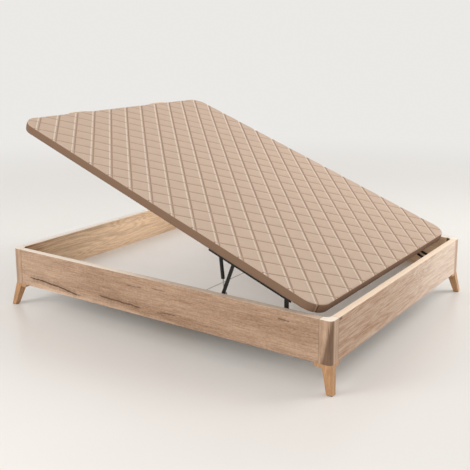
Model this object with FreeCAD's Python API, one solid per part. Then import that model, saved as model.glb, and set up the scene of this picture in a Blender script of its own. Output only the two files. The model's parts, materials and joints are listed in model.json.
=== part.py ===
import FreeCAD, Part
import math
import os

# A storage bed: an oak box on splayed legs, with a quilted lid that lifts from the foot end.
# Millimetres. +X points to the head end, -Y is the near long side, +Z is up, z = 0 is the floor.
# The lid is drawn open, as it rests on its gas struts.

V = FreeCAD.Vector

# Box
frame_length = 2040.0
frame_width = 1650.0
leg_height = 130.0
panel_height = 204.0
wall = 36.0
post_reach = 64.0
post_round = 24.0
edge_round = 2.0
dowel_radius = 5.0
dowel_length = 50.0
dowel_from_edge = 45.0

# Legs
leg_top_size = 50.0
leg_foot_size = 32.0
leg_splay = 17.0
leg_top_round = 14.0
leg_foot_round = 7.0
leg_edge_round = 3.0
leg_inset = 2.0
wing_reach = 94.0
wing_height = 18.0
wing_chamfer = 12.0
glide_size = 26.0
glide_height = 3.0
bolt_radius = 4.0
bolt_in_leg = 40.0
bolt_in_post = 45.0
bolt_from_corner = 26.0

# Storage floor
floor_rise = 14.0
floor_thickness = 8.0
floor_seam = 2.0
groove_depth = 8.0
groove_clearance = 1.0
groove_height_clearance = 0.2
batten_width = 70.0
batten_height = 22.0
batten_end_gap = 6.0
foot_spacing = 760.0
foot_radius = 20.0
foot_base_radius = 26.0
foot_base_height = 8.0

# Lid
lid_head_clearance = 0.5
lid_foot_inset = 3.5
lid_side_inset = 25.0
lid_corner = 90.0
lid_gap = 0.5
cloth_thickness = 1.0
lid_rail_height = 25.0
lid_rail_width = 60.0
cross_rail_count = 3
board_thickness = 8.0
pad_thickness = 16.0
pad_round = 9.0
border_thickness = 4.0
fabric_clearance = 0.3
quilt_pitch = 142.75
quilt_from_head = 18.0
quilt_from_near = 12.0
quilt_width = 9.0
quilt_depth = 3.5
strap_span = 165.0
strap_bow = 16.0
strap_height = 30.0
strap_thickness = 2.5
strap_spacing = 725.0
strap_below_top = 3.0

# Lift: how far the lid turns, and how far its lower head edge goes back and down
open_angle = 20.59
head_retreat = 54.2
head_drop = 9.2

# Lift gear, as distances from the box's head end, its top edge and its inner wall
plate_thickness = 4.0
gear_thickness = 4.0
gear_layer = 6.0
running_clearance = 0.05
slide_clearance = 0.3
lever_pivot_from_head = 284.0
lever_pivot_below_top = 64.7
elbow_from_head = 608.9
elbow_below_top = 15.2
lever_width = 24.0
pin_radius = 5.0
pin_head_radius = 9.0
pin_head_height = 2.5
pin_gap = 0.5
arm_width = 18.0
arm_eye_play = 1.35
arm_eye_shift_x = -0.74
arm_eye_shift_z = 0.67
arm_from_lid_head = 481.6
strut_from_lid_head = 574.2
pin_drop = 12.5
rail_thickness = 3.0
rail_depth = 20.0
rail_flange = 31.0
rail_near_head = 145.0
rail_near_foot = 630.0
rail_screw_radius = 3.0
rail_screw_bite = 18.0
rail_screw_head_radius = 6.0
rail_screw_head_height = 3.0
rail_screw_first = 22.0
rail_screw_pitch = 146.0
rail_screw_count = 4

# Hanger and curved track
hanger_width = 22.0
hanger_from_head = 253.0
shoe_below_top = 104.0
shoe_length = 50.0
shoe_width = 14.0
track_margin = 14.0
track_screw_radius = 2.25
track_screw_head_radius = 4.5
track_screw_bite = 24.0

# Gas strut
strut_layer = 32.0
cylinder_radius = 9.0
cylinder_bore = 7.0
cylinder_start = 12.0
cylinder_cap = 6.0
cylinder_length = 110.0
rod_radius = 4.0
rod_clearance = 0.1
piston_length = 8.0
piston_clearance = 0.2
piston_margin = 4.0
eye_radius = 9.0
eye_thickness = 10.0
rod_eye_play = 0.5
rod_eye_shift_x = -0.08
rod_eye_shift_z = 0.14

# Worked out from the above
half_length = frame_length / 2
half_width = frame_width / 2
box_top = leg_height + panel_height
inner_wall = half_width - wall
inner_end = half_length - wall
post_line_x = half_length - post_reach
post_line_y = half_width - post_reach
floor_top = leg_height + floor_rise
floor_low = floor_top - floor_thickness
lid_width = frame_width - 2 * lid_side_inset
lid_low = box_top + lid_gap
rail_low = lid_low + cloth_thickness
board_low = rail_low + lid_rail_height
pad_low = board_low + board_thickness
lid_top = pad_low + pad_thickness
lid_head = inner_end - lid_head_clearance
lid_foot = lid_foot_inset - half_length
lid_length = lid_head - lid_foot
lid_middle = (lid_head + lid_foot) / 2
nodes = {}


# Plain shapes

def block(x0, x1, y0, y1, z0, z1):
    """A box between two corners."""
    return Part.makeBox(x1 - x0, y1 - y0, z1 - z0, V(x0, y0, z0))


def upright_edges(shape):
    """The edges of a shape that run straight up."""
    found = []
    for edge in shape.Edges:
        start = edge.Vertexes[0].Point
        end = edge.Vertexes[-1].Point
        if abs(start.x - end.x) < 1e-6 and abs(start.y - end.y) < 1e-6:
            found.append(edge)
    return found


def rounded_plate(inset, z0, z1):
    """The closed lid's rounded outline, drawn in by inset, from z0 to z1."""
    half_y = lid_width / 2 - inset
    plate = block(lid_foot + inset, lid_head - inset, -half_y, half_y, z0, z1)
    return plate.makeFillet(lid_corner - inset, upright_edges(plate))


def cross_pin(x, z, radius, y0, y1):
    """A cylinder along Y between two places on that axis."""
    return Part.makeCylinder(radius, y1 - y0, V(x, y0, z), V(0, 1, 0))


def link_plate(start, end, width, y0, y1):
    """A flat bar between two points in the XZ plane, with a round end at each."""
    run = end - start
    length = run.Length
    bar = block(0, length, y0, y1, -width / 2, width / 2)
    bar.rotate(V(0, 0, 0), V(0, 1, 0), -math.degrees(math.atan2(run.z, run.x)))
    bar.translate(V(start.x, 0, start.z))
    first = cross_pin(start.x, start.z, width / 2, y0, y1)
    last = cross_pin(end.x, end.z, width / 2, y0, y1)
    return bar.fuse([first, last]).removeSplitter()


def arc_band(center, inner, outer, start, sweep, y0, y1):
    """A curved strip about a point: start and sweep in degrees from straight down, + towards +X."""
    ring = cross_pin(center.x, center.z, outer, y0, y1).cut(cross_pin(center.x, center.z, inner, y0, y1))
    reach = 2 * outer
    corners = [V(center.x, y0, center.z)]
    for share in (0.0, 0.5, 1.0):
        turn = math.radians(start + share * sweep)
        corners.append(V(center.x + reach * math.sin(turn), y0, center.z - reach * math.cos(turn)))
    corners.append(corners[0])
    wedge = Part.Face(Part.makePolygon(corners)).extrude(V(0, y1 - y0, 0))
    return ring.common(wedge)


def far(shape):
    """The same piece on the far long side."""
    return shape.mirror(V(0, 0, 0), V(0, 1, 0))


def at_foot(shape):
    """The same piece at the foot end."""
    return shape.mirror(V(0, 0, 0), V(1, 0, 0))


# The lid's turn: its pole is the point that stays put between closed and open

def lid_pole():
    """The point about which a single turn takes the closed lid to the open one."""
    turn = math.radians(open_angle)
    move_x = -head_retreat
    move_z = -head_drop
    middle_x = lid_head + move_x / 2
    middle_z = lid_low + move_z / 2
    stretch = 0.5 / math.tan(turn / 2)
    return V(middle_x + stretch * move_z, 0, middle_z - stretch * move_x)


pole = lid_pole()


def opened(shape):
    """A closed lid piece turned to the open rest pose."""
    turned = shape.copy()
    turned.rotate(pole, V(0, 1, 0), open_angle)
    return turned


def opened_point(x, z):
    """Where a point of the closed lid lies when the lid is open."""
    turn = FreeCAD.Rotation(V(0, 1, 0), open_angle)
    return pole + turn.multVec(V(x, 0, z) - pole)


# Box panels, posts and dowels

def dowel_heights():
    """The two heights of the dowels in each panel end."""
    return (leg_height + dowel_from_edge, box_top - dowel_from_edge)


def side_dowels():
    """The dowels in the head end of the far side panel."""
    middle = half_width - wall / 2
    start = V(post_line_x - dowel_length / 2, middle, 0)
    return [Part.makeCylinder(dowel_radius, dowel_length, start + V(0, 0, z), V(1, 0, 0))
            for z in dowel_heights()]


def end_dowels():
    """The dowels in the far end of the head panel."""
    middle = half_length - wall / 2
    start = V(middle, post_line_y - dowel_length / 2, 0)
    return [Part.makeCylinder(dowel_radius, dowel_length, start + V(0, 0, z), V(0, 1, 0))
            for z in dowel_heights()]


def all_dowels():
    """Every dowel of the four corners."""
    corner = side_dowels() + end_dowels()
    head = corner + [far(peg) for peg in corner]
    return head + [at_foot(peg) for peg in head]


def floor_groove():
    """The slot round the inside of the box that holds the floor's edges."""
    low = floor_low - groove_height_clearance
    high = floor_top + groove_height_clearance
    reach_x = inner_end + groove_depth
    reach_y = inner_wall + groove_depth
    along = block(-post_line_x, post_line_x, -reach_y, reach_y, low, high)
    across = block(-reach_x, reach_x, -post_line_y, post_line_y, low, high)
    return along.fuse(across)


def eased(panel, axis):
    """A panel with its two long top edges softened."""
    edges = []
    for edge in panel.Edges:
        start = edge.Vertexes[0].Point
        end = edge.Vertexes[-1].Point
        run = end - start
        at_top = abs(start.z - box_top) < 1e-6 and abs(end.z - box_top) < 1e-6
        if at_top and abs(run.dot(axis)) > 0.99 * run.Length:
            edges.append(edge)
    return panel.makeFillet(edge_round, edges)


def side_panel():
    """The far long side."""
    panel = block(-post_line_x, post_line_x, inner_wall, half_width, leg_height, box_top)
    panel = eased(panel, V(1, 0, 0)).cut(floor_groove())
    pegs = side_dowels()
    return panel.cut(pegs + [at_foot(peg) for peg in pegs])


def head_panel():
    """The short side at the head."""
    panel = block(inner_end, half_length, -post_line_y, post_line_y, leg_height, box_top)
    panel = eased(panel, V(0, 1, 0)).cut(floor_groove())
    pegs = end_dowels()
    return panel.cut(pegs + [far(peg) for peg in pegs])


def on_joint_plane(edge):
    """True for an edge of the post that lies where a panel meets it."""
    box = edge.BoundBox
    meets_side = box.XMax - box.XMin < edge_round and box.XMin < post_line_x + edge_round
    meets_end = box.YMax - box.YMin < edge_round and box.YMin < post_line_y + edge_round
    return meets_side or meets_end


def corner_post():
    """The far head corner: rounded outside, hollowed by a quarter round inside."""
    post = block(post_line_x, half_length, post_line_y, half_width, leg_height, box_top)
    outer = [edge for edge in upright_edges(post)
             if edge.Vertexes[0].X > half_length - 1 and edge.Vertexes[0].Y > half_width - 1]
    post = post.makeFillet(post_round, outer)
    hollow = Part.makeCylinder(post_reach - wall, panel_height, V(post_line_x, post_line_y, leg_height))
    post = post.cut(hollow)
    rim = [edge for edge in post.Edges
           if edge.BoundBox.ZMin > box_top - edge_round and not on_joint_plane(edge)
           and edge.BoundBox.XMax > post_line_x + edge_round
           and edge.BoundBox.YMax > post_line_y + edge_round]
    post = post.makeFillet(edge_round, rim)
    return post.cut(side_dowels() + end_dowels() + [leg_bolt()])


# Legs

def leg_outline(corner_x, corner_y, size, corner_round, z):
    """A square with a well rounded outer corner and three eased ones, as a closed wire."""
    half = size / 2
    middle_x = corner_x - half
    middle_y = corner_y - half
    corners = ((1, 1, corner_round), (-1, 1, leg_edge_round),
               (-1, -1, leg_edge_round), (1, -1, leg_edge_round))
    edges = []
    ends = []
    for side_x, side_y, radius in corners:
        bend = radius * (1 - math.sqrt(0.5))
        on_side = V(middle_x + side_x * half, middle_y + side_y * (half - radius), z)
        on_end = V(middle_x + side_x * (half - radius), middle_y + side_y * half, z)
        middle = V(middle_x + side_x * (half - bend), middle_y + side_y * (half - bend), z)
        start, end = (on_side, on_end) if side_x == side_y else (on_end, on_side)
        edges.append(Part.Arc(start, middle, end).toShape())
        ends.append((start, end))
    for index in range(len(ends)):
        edges.append(Part.LineSegment(ends[index][1], ends[(index + 1) % len(ends)][0]).toShape())
    return Part.Wire(Part.__sortEdges__(edges))


def leg_wing():
    """The bar along the far side's underside, cut slanting at its tip."""
    low = leg_height - wing_height
    outer_y = half_width - leg_inset
    tip = half_length - wing_reach
    outline = [V(half_length - leg_inset - leg_top_size / 2, 0, leg_height), V(tip, 0, leg_height),
               V(tip + wing_chamfer, 0, low), V(half_length - leg_inset - leg_top_size / 2, 0, low)]
    face = Part.Face(Part.makePolygon(outline + [outline[0]]))
    wing = face.extrude(V(0, wall - leg_inset, 0))
    wing.translate(V(0, outer_y - wall + leg_inset, 0))
    return wing


def across_corner(shape):
    """A far head corner piece swapped from the long side to the short side."""
    shift = half_length - half_width
    moved = shape.mirror(V(shift, 0, 0), V(1, -1, 0))
    return moved


def leg_bolt():
    """The threaded bolt that joins a leg to its post."""
    place = V(half_length - bolt_from_corner, half_width - bolt_from_corner, leg_height - bolt_in_leg)
    return Part.makeCylinder(bolt_radius, bolt_in_leg + bolt_in_post, place)


def leg():
    """The far head leg with its two wings."""
    top = leg_outline(half_length - leg_inset, half_width - leg_inset, leg_top_size, leg_top_round,
                      leg_height)
    foot = leg_outline(half_length + leg_splay, half_width + leg_splay, leg_foot_size,
                       leg_foot_round, glide_height)
    shaft = Part.makeLoft([foot, top], True, True)
    wing = leg_wing()
    whole = shaft.fuse([wing, across_corner(wing)]).removeSplitter()
    return whole.cut(leg_bolt())


def glide():
    """The plastic pad under the far head leg."""
    spare = (leg_foot_size - glide_size) / 2
    high_x = half_length + leg_splay - spare
    high_y = half_width + leg_splay - spare
    pad = block(high_x - glide_size, high_x, high_y - glide_size, high_y, 0, glide_height)
    return pad.makeFillet(leg_foot_round - spare, upright_edges(pad))


def four_corners(shape):
    """A far head piece repeated at every corner."""
    pair = [shape, far(shape)]
    return pair + [at_foot(piece) for piece in pair]


# Storage floor

def floor_boards():
    """The two floor boards: head half, foot half."""
    reach_x = inner_end + groove_depth - groove_clearance
    reach_y = inner_wall + groove_depth - groove_clearance
    line_x = post_line_x - groove_clearance
    line_y = post_line_y - groove_clearance
    along = block(-line_x, line_x, -reach_y, reach_y, floor_low, floor_top)
    across = block(-reach_x, reach_x, -line_y, line_y, floor_low, floor_top)
    corner_radius = post_reach - wall - groove_clearance
    disc = Part.makeCylinder(corner_radius, floor_thickness, V(post_line_x, post_line_y, floor_low))
    whole = along.fuse([across] + four_corners(disc)).removeSplitter()
    half = whole.common(block(floor_seam / 2, half_length, -half_width, half_width, 0, box_top))
    return half.cut([plate_room(), far(plate_room())]), at_foot(half)


def plate_room():
    """The room of the near wall plate and its screws, for the floor to stay clear of in a low box."""
    plate = track_plate().BoundBox
    low_x = plate.XMin - groove_clearance
    high_x = plate.XMax + groove_clearance
    inner_face = layer(plate_thickness + groove_clearance)
    return block(low_x, high_x, -half_width, inner_face, plate.ZMin - groove_clearance, box_top)


def floor_batten():
    """The bar under the seam between the floor boards."""
    reach = inner_wall - batten_end_gap
    return block(-batten_width / 2, batten_width / 2, -reach, reach, floor_low - batten_height, floor_low)


def middle_foot():
    """The far one of the two feet under the batten."""
    middle = foot_spacing / 2
    height = floor_low - batten_height
    post = Part.makeCylinder(foot_radius, height, V(0, middle, 0))
    base = Part.makeCylinder(foot_base_radius, foot_base_height, V(0, middle, 0))
    return post.fuse(base).removeSplitter()


# Lid, drawn closed

def lid_frame_outline():
    """The space inside the border that the timber frame fills."""
    return rounded_plate(border_thickness + fabric_clearance, rail_low, board_low)


def lid_side_rail():
    """The far long rail of the lid's timber frame."""
    outer = lid_width / 2
    strip = block(lid_foot, lid_head, outer - lid_rail_width, outer, rail_low, board_low)
    holes = [far(screw) for screw in rail_screws(running_clearance)]
    return strip.common(lid_frame_outline()).cut(holes)


def lid_end_rail():
    """The head rail of the lid's timber frame."""
    inner_y = lid_width / 2 - lid_rail_width
    strip = block(lid_head - lid_rail_width, lid_head, -inner_y, inner_y, rail_low, board_low)
    return strip.common(lid_frame_outline())


def lid_cross_rails():
    """The bars between the lid's long rails."""
    inner_y = lid_width / 2 - lid_rail_width
    step = lid_length / (cross_rail_count + 1)
    bars = []
    for index in range(cross_rail_count):
        middle = lid_foot + (index + 1) * step
        bars.append(block(middle - lid_rail_width / 2, middle + lid_rail_width / 2,
                          -inner_y, inner_y, rail_low, board_low))
    return bars


def lid_board():
    """The sheet on the timber frame."""
    return rounded_plate(border_thickness + fabric_clearance, board_low, pad_low)


def underside_cloth():
    """The thin cloth under the timber frame."""
    cloth = rounded_plate(border_thickness + fabric_clearance, lid_low, rail_low)
    holes = rail_screws(running_clearance)
    return cloth.cut(holes + [far(hole) for hole in holes])


def border_cover():
    """The fabric band round the lid's edge."""
    return rounded_plate(0, lid_low, pad_low).cut(rounded_plate(border_thickness, lid_low, pad_low))


def quilt_channels(slant):
    """V-shaped channels at 45 degrees, one pitch apart along the lid; slant is +1 or -1."""
    overlap = 0.5
    length = lid_length + lid_width
    spread = quilt_width / 2 * (1 + overlap / quilt_depth)
    section = [V(0, -spread, lid_top + overlap), V(0, spread, lid_top + overlap),
               V(0, 0, lid_top - quilt_depth)]
    channel = Part.Face(Part.makePolygon(section + [section[0]])).extrude(V(length, 0, 0))
    channel.translate(V(-length / 2, 0, 0))
    channel.rotate(V(0, 0, 0), V(0, 0, 1), 45 * slant)
    crossing_x = lid_head - quilt_from_head
    crossing_y = quilt_from_near - lid_width / 2
    middle_hit = crossing_x - slant * crossing_y
    first = middle_hit - quilt_pitch * math.ceil((middle_hit + length / 2) / quilt_pitch)
    count = int(length / quilt_pitch) + 2
    channels = []
    for index in range(count):
        copy = channel.copy()
        copy.translate(V(first + index * quilt_pitch, 0, 0))
        channels.append(copy)
    return channels


def quilted_pad():
    """The padded top: soft upper edge and a lattice of sewn channels."""
    pad = rounded_plate(0, pad_low, lid_top)
    rim = [edge for edge in pad.Edges if edge.BoundBox.ZMin > lid_top - 1e-6]
    pad = pad.makeFillet(pad_round, rim)
    pad = pad.cut(quilt_channels(1))
    return pad.cut(quilt_channels(-1))


def pull_strap(middle):
    """A tape sewn to the foot edge, bowed out as a hand loop."""
    half = strap_span / 2
    high = lid_top - strap_below_top
    bow_radius = (half ** 2 + strap_bow ** 2) / (2 * strap_bow)
    center = V(lid_foot - strap_bow + bow_radius, middle, high - strap_height)
    disc = Part.makeCylinder(bow_radius, strap_height, center)
    hollow = Part.makeCylinder(bow_radius - strap_thickness, strap_height, center)
    beyond = block(lid_foot - 2 * strap_bow, lid_foot, middle - half, middle + half, lid_low, lid_top)
    return disc.cut(hollow).common(beyond)


# Lift gear on the near side: layers are counted from the box's inner wall

def layer(depth):
    """The Y of a layer that lies depth inside the near wall."""
    return -inner_wall + depth


lever_pivot = V(half_length - lever_pivot_from_head, 0, box_top - lever_pivot_below_top)
elbow = V(half_length - elbow_from_head, 0, box_top - elbow_below_top)
arm_pivot = opened_point(lid_head - arm_from_lid_head, lid_low - pin_drop)
strut_pivot = opened_point(lid_head - strut_from_lid_head, lid_low - pin_drop)
shoe_place = V(half_length - hanger_from_head, 0, box_top - shoe_below_top)
rail_layer = gear_layer + gear_thickness
arm_layer = rail_layer + rail_thickness + pin_gap
track_radius = (shoe_place - pole).Length
shoe_angle = math.degrees(math.atan2(shoe_place.x - pole.x, pole.z - shoe_place.z))


def headed_pin(place, start, end):
    """A pivot pin along Y with a head at its inner end."""
    shank = cross_pin(place.x, place.z, pin_radius, layer(start), layer(end))
    head = cross_pin(place.x, place.z, pin_head_radius, layer(end), layer(end + pin_head_height))
    return shank.fuse(head).removeSplitter()


def pivot_hole(place, play, start, end):
    """The hole for a pivot pin."""
    return cross_pin(place.x, place.z, pin_radius + play, layer(start), layer(end))


def band_degrees(length):
    """An arc length along the track as degrees."""
    return math.degrees(length / track_radius)


def track_plate():
    """The wall plate with the curved slot and the lever's pivot."""
    reach = shoe_width / 2 + slide_clearance + track_margin
    slot_start = shoe_angle - band_degrees(shoe_length / 2 + slide_clearance)
    slot_sweep = open_angle + band_degrees(shoe_length + 2 * slide_clearance)
    edge = band_degrees(track_margin)
    plate = arc_band(pole, track_radius - reach, track_radius + reach, slot_start - edge,
                     slot_sweep + 2 * edge, layer(0), layer(plate_thickness))
    ear_end = slot_end(slot_start)
    ear = link_plate(lever_pivot, ear_end, 2 * reach, layer(0), layer(plate_thickness))
    width = shoe_width / 2 + slide_clearance
    slot = arc_band(pole, track_radius - width, track_radius + width, slot_start, slot_sweep,
                    layer(0), layer(plate_thickness))
    plate = plate.fuse(ear).removeSplitter().cut(slot)
    plate = plate.cut(pivot_hole(lever_pivot, 0, 0, plate_thickness))
    return plate.cut(track_screws(running_clearance))


def slot_end(start):
    """The point of the track's middle line just before its slot starts."""
    turn = math.radians(start - band_degrees(track_margin / 2))
    return V(pole.x + track_radius * math.sin(turn), 0, pole.z - track_radius * math.cos(turn))


def track_screw_places():
    """Screw points beside the lever's pivot and on both sides of the slot."""
    aside = shoe_width / 2 + slide_clearance + track_margin / 2
    places = [(lever_pivot.x - aside, lever_pivot.z)]
    for turn_degrees in (shoe_angle, shoe_angle + open_angle):
        turn = math.radians(turn_degrees)
        for radius in (track_radius - aside, track_radius + aside):
            places.append((pole.x + radius * math.sin(turn), pole.z - radius * math.cos(turn)))
    return places


def track_screws(play):
    """Countersunk screws from the plate into the wall; play widens them for their holes."""
    screws = []
    for x, z in track_screw_places():
        radius = track_screw_radius + play
        head_radius = track_screw_head_radius + play
        taper = head_radius - radius
        cone = Part.makeCone(radius, head_radius, taper, V(x, layer(plate_thickness - taper), z), V(0, 1, 0))
        bite = track_screw_bite + play
        shank = cross_pin(x, z, radius, layer(-bite), layer(plate_thickness - taper))
        screws.append(shank.fuse(cone).removeSplitter())
    return screws


def lever():
    """The long bar from its wall pivot to the elbow."""
    end = gear_layer + gear_thickness
    bar = link_plate(lever_pivot, elbow, lever_width, layer(gear_layer), layer(end))
    bar = bar.cut(pivot_hole(lever_pivot, running_clearance, gear_layer, end))
    return bar.cut(pivot_hole(elbow, 0, gear_layer, end))


def lift_arm():
    """The upright flat bar from the elbow to the lid's rail, with a roomy lower eye."""
    end = arm_layer + gear_thickness
    bar = link_plate(elbow, arm_pivot, arm_width, layer(arm_layer), layer(end))
    eye = elbow + V(arm_eye_shift_x, 0, arm_eye_shift_z)
    boss = cross_pin(eye.x, eye.z, arm_width / 2 + arm_eye_play, layer(arm_layer), layer(end))
    bar = bar.fuse(boss).removeSplitter()
    bar = bar.cut(pivot_hole(eye, arm_eye_play, arm_layer, end))
    return bar.cut(pivot_hole(arm_pivot, running_clearance, arm_layer, end))


def upper_rail():
    """The steel angle under the lid, drawn open."""
    start = lid_head - rail_near_foot
    end = lid_head - rail_near_head
    web = block(start, end, layer(rail_layer), layer(rail_layer + rail_thickness),
                lid_low - rail_depth, lid_low)
    flange = block(start, end, layer(rail_layer), layer(rail_layer + rail_flange),
                   lid_low - rail_thickness, lid_low)
    angle = opened(web.fuse(flange).removeSplitter().cut(rail_screws(running_clearance)))
    for place in (arm_pivot, strut_pivot):
        angle = angle.cut(pivot_hole(place, 0, rail_layer, rail_layer + rail_thickness))
    return angle


def rail_screws(play):
    """Screws that hold the angle to the lid's timber, drawn closed; play widens their holes."""
    middle = layer(rail_layer + (rail_thickness + rail_flange) / 2)
    shank_low = lid_low - rail_thickness
    head_low = shank_low - rail_screw_head_height
    screws = []
    for index in range(rail_screw_count):
        x = lid_head - rail_near_head - rail_screw_first - index * rail_screw_pitch
        shank_length = rail_thickness + rail_screw_bite + play
        shank = Part.makeCylinder(rail_screw_radius + play, shank_length, V(x, middle, shank_low))
        head = Part.makeCylinder(rail_screw_head_radius, rail_screw_head_height, V(x, middle, head_low))
        screws.append(shank.fuse(head).removeSplitter())
    return screws


def rail_pins():
    """The pins in the angle for the arm and for the strut."""
    arm_pin = headed_pin(arm_pivot, rail_layer, arm_layer + gear_thickness + pin_gap)
    strut_pin = headed_pin(strut_pivot, rail_layer, strut_layer + eye_thickness / 2 + pin_gap)
    return [arm_pin, strut_pin]


def elbow_pin():
    """The pin in the lever that carries the arm and the strut's rod."""
    return headed_pin(elbow, gear_layer, strut_layer + eye_thickness / 2 + pin_gap)


def lever_pin():
    """The pin in the wall plate on which the lever turns."""
    return headed_pin(lever_pivot, 0, gear_layer + gear_thickness + pin_gap)


def hanger():
    """The upright plate that hangs from the angle and carries the guide shoe."""
    top_x = shoe_place.x
    y0 = layer(gear_layer)
    y1 = layer(gear_layer + gear_thickness)
    half = hanger_width / 2
    plate = block(top_x - half, top_x + half, y0, y1, shoe_place.z, box_top + panel_height)
    space_low = lid_low - panel_height - wall
    under_lid = opened(block(-lid_length, lid_length, y0, y1, space_low, lid_low - pin_gap))
    plate = plate.common(under_lid)
    pad_reach = shoe_width / 2
    pad = arc_band(pole, track_radius - pad_reach, track_radius + pad_reach,
                   shoe_angle - band_degrees(shoe_length / 2), band_degrees(shoe_length), y0, y1)
    return plate.fuse(pad).removeSplitter()


def guide_shoe():
    """The curved plastic slide on the hanger that runs in the wall plate's slot."""
    reach = shoe_width / 2
    return arc_band(pole, track_radius - reach, track_radius + reach,
                    shoe_angle - band_degrees(shoe_length / 2), band_degrees(shoe_length),
                    layer(slide_clearance), layer(gear_layer))


def along_strut(distance):
    """A point on the strut's axis, counted from its upper pivot."""
    axis = (elbow - strut_pivot).normalize()
    return strut_pivot + axis * distance


def strut_tube(radius, start, end):
    """A round bar on the strut's axis between two distances from its upper pivot."""
    place = along_strut(start)
    place.y = layer(strut_layer)
    return Part.makeCylinder(radius, end - start, place, elbow - strut_pivot)


def strut_eye(place, play):
    """A flat eye at one end of the strut, and its hole."""
    start = layer(strut_layer - eye_thickness / 2)
    end = layer(strut_layer + eye_thickness / 2)
    eye = cross_pin(place.x, place.z, eye_radius, start, end)
    hole = cross_pin(place.x, place.z, pin_radius + play, start, end)
    return eye, hole


cylinder_end = cylinder_start + cylinder_length
strut_length = (elbow - strut_pivot).Length


def strut_cylinder():
    """The pressure tube with its upper eye, bore and lower guide."""
    tube = strut_tube(cylinder_radius, cylinder_start, cylinder_end)
    bore = strut_tube(cylinder_bore, cylinder_start + cylinder_cap, cylinder_end - cylinder_cap)
    guide = strut_tube(rod_radius + rod_clearance, cylinder_end - cylinder_cap, cylinder_end)
    eye, hole = strut_eye(strut_pivot, running_clearance)
    neck = strut_tube(rod_radius, 0, cylinder_start)
    body = tube.fuse([eye, neck]).removeSplitter()
    return body.cut([bore, guide, hole])


def strut_rod():
    """The rod with its piston inside the tube and its lower eye on the elbow pin."""
    piston_end = cylinder_end - cylinder_cap - piston_margin
    shaft = strut_tube(rod_radius, piston_end, strut_length)
    piston = strut_tube(cylinder_bore - piston_clearance, piston_end - piston_length, piston_end)
    eye, hole = strut_eye(elbow + V(rod_eye_shift_x, 0, rod_eye_shift_z), rod_eye_play)
    return shaft.fuse([piston, eye]).removeSplitter().cut(hole)


# Nodes

def add_box_nodes():
    """Panels, posts, legs and the floor."""
    panel = side_panel()
    holes = [far(screw) for screw in track_screws(running_clearance)]
    panel = panel.cut(holes)
    nodes["side_panel_far"] = panel
    nodes["side_panel_near"] = far(panel)
    end = head_panel()
    nodes["head_panel"] = end
    nodes["foot_panel"] = at_foot(end)
    corners = ("head_far", "head_near", "foot_far", "foot_near")
    for name, post, prop in zip(corners, four_corners(corner_post()), four_corners(leg())):
        nodes["corner_post_" + name] = post
        nodes["leg_" + name] = prop
    nodes["leg_glides"] = Part.makeCompound(four_corners(glide()))
    nodes["leg_bolts"] = Part.makeCompound(four_corners(leg_bolt()))
    nodes["corner_dowels"] = Part.makeCompound(all_dowels())
    head_board, foot_board = floor_boards()
    nodes["floor_board_head"] = head_board
    nodes["floor_board_foot"] = foot_board
    nodes["floor_batten"] = floor_batten()
    nodes["middle_feet"] = Part.makeCompound([middle_foot(), far(middle_foot())])


def add_lid_nodes():
    """The lid's own pieces, turned open."""
    rail = lid_side_rail()
    nodes["lid_side_rail_far"] = opened(rail)
    nodes["lid_side_rail_near"] = opened(far(rail))
    end = lid_end_rail()
    nodes["lid_head_rail"] = opened(end)
    nodes["lid_foot_rail"] = opened(end.mirror(V(lid_middle, 0, 0), V(1, 0, 0)))
    nodes["lid_cross_rails"] = opened(Part.makeCompound(lid_cross_rails()))
    nodes["lid_board"] = opened(lid_board())
    nodes["underside_cloth"] = opened(underside_cloth())
    nodes["border_cover"] = opened(border_cover())
    nodes["quilted_pad"] = opened(quilted_pad())
    nodes["pull_strap_near"] = opened(pull_strap(-strap_spacing / 2))
    nodes["pull_strap_far"] = opened(pull_strap(strap_spacing / 2))


def add_gear_nodes():
    """The lift gear of both long sides."""
    gear = {
        "track_plate": track_plate(),
        "track_screws": Part.makeCompound(track_screws(0)),
        "lever": lever(),
        "lever_pin": lever_pin(),
        "elbow_pin": elbow_pin(),
        "lift_arm": lift_arm(),
        "upper_rail": upper_rail(),
        "rail_screws": opened(Part.makeCompound(rail_screws(0))),
        "rail_pins": Part.makeCompound(rail_pins()),
        "hanger": hanger(),
        "guide_shoe": guide_shoe(),
        "strut_cylinder": strut_cylinder(),
        "strut_rod": strut_rod(),
    }
    for name, shape in gear.items():
        nodes[name + "_near"] = shape
        nodes[name + "_far"] = far(shape)


add_box_nodes()
add_lid_nodes()
add_gear_nodes()
os.makedirs("parts", exist_ok=True)
for name, shape in nodes.items():
    shape.exportStep("parts/" + name + ".step")
print("nodes", len(nodes))
print("pole", round(pole.x, 3), round(pole.z, 3))
for name, place in (("lever pivot", lever_pivot), ("elbow", elbow), ("arm pivot", arm_pivot),
                    ("strut pivot", strut_pivot)):
    print(name, round(place.x, 3), round(place.z, 3))
print("strut length", round(strut_length, 2))
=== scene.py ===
import json
import math

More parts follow.
